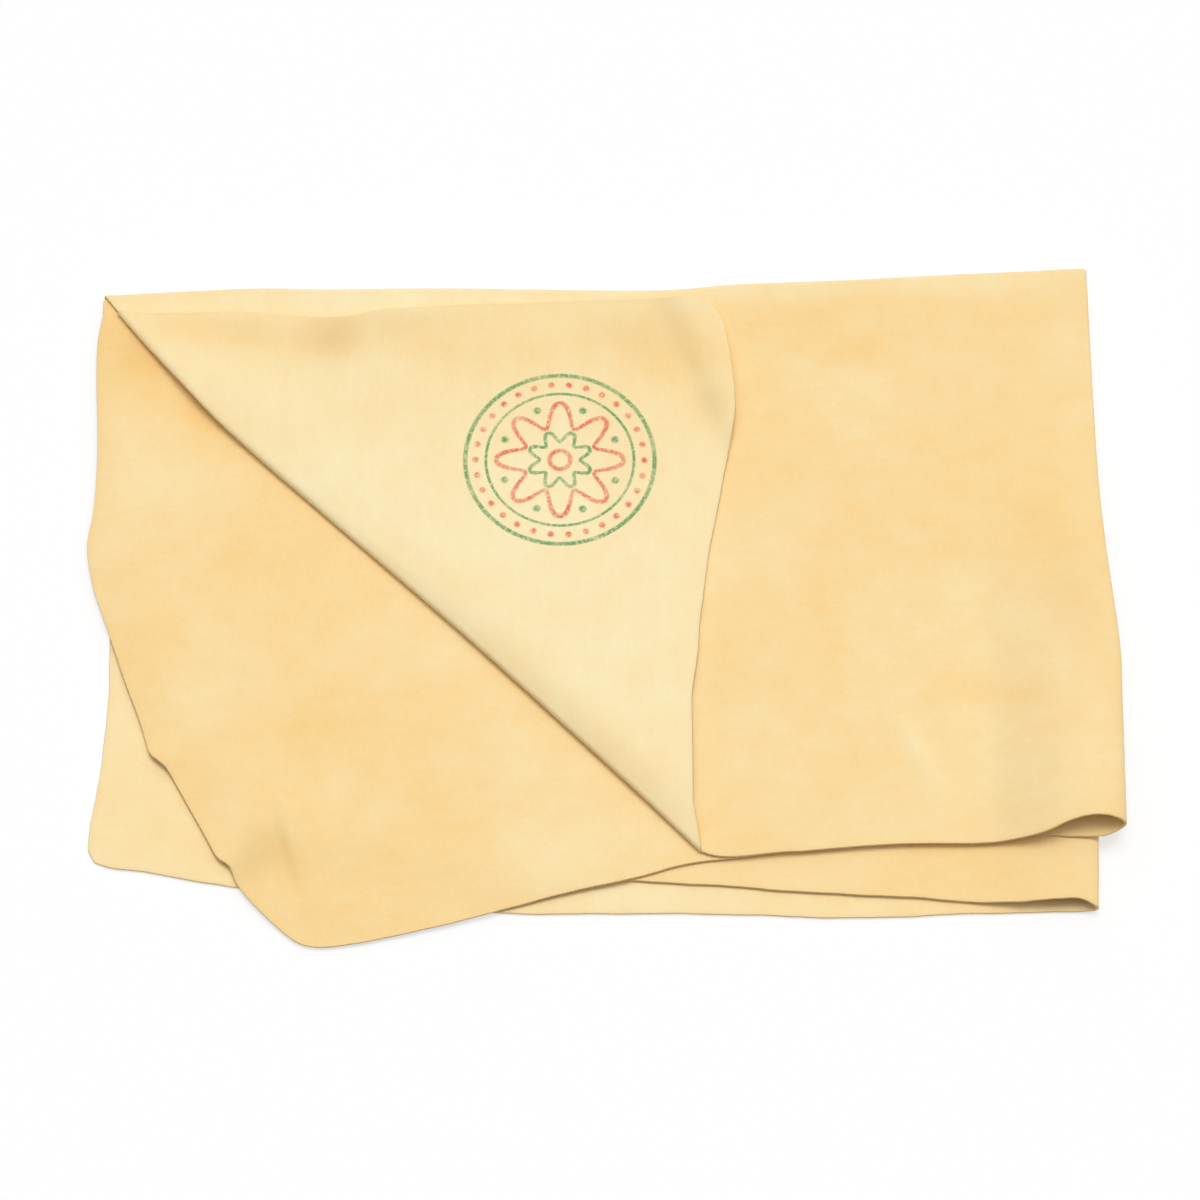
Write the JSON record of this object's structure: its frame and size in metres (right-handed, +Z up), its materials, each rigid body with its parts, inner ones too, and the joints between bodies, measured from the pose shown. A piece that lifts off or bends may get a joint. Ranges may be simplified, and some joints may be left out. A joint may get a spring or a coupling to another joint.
{
  "type": "chamois leather",
  "caption": "Soft chamois cleaning leather folded in quarters, its top corner turned back over a diagonal fold, for washing, drying and polishing.",
  "frame": {"origin": "on the table, under the middle of the folded skin's box", "axes": "+X along the back fold towards the side folds, +Y towards the back fold, +Z up off the table"},
  "size_m": [0.3536, 0.257, 0.0172],
  "materials": {
    "deep_side": "matt suede, deep buff side",
    "pale_side": "matt suede, paler napped side"
  },
  "bodies": {
    "lower": {"bottom_leaf": "pale_side", "third_leaf": "deep_side", "lower_right_fold": "deep_side", "top_fold_outer": "deep_side", "top_fold_inner": "deep_side"},
    "upper": {"top_leaf": "deep_side", "second_leaf": "deep_side", "upper_right_fold": "deep_side", "corner_fold": "pale_side"},
    "corner": {"turned_corner": "pale_side"}
  },
  "joints": [
    {"name": "back_fold_opens", "type": "hinge", "parent": "lower", "child": "upper", "pos_m": [-0.00175, 0.1221, 0.0038], "axis": [-0.9994, -0.0345, 0], "range_deg": [0, 175], "deforming": ["top_fold_outer", "top_fold_inner"]},
    {"name": "corner_turns", "type": "hinge", "parent": "upper", "child": "corner", "pos_m": [-0.07043, 0.00974, 0.0062], "axis": [0.7022, -0.712, 0], "range_deg": [0, 175], "deforming": ["corner_fold"]}
  ]
}
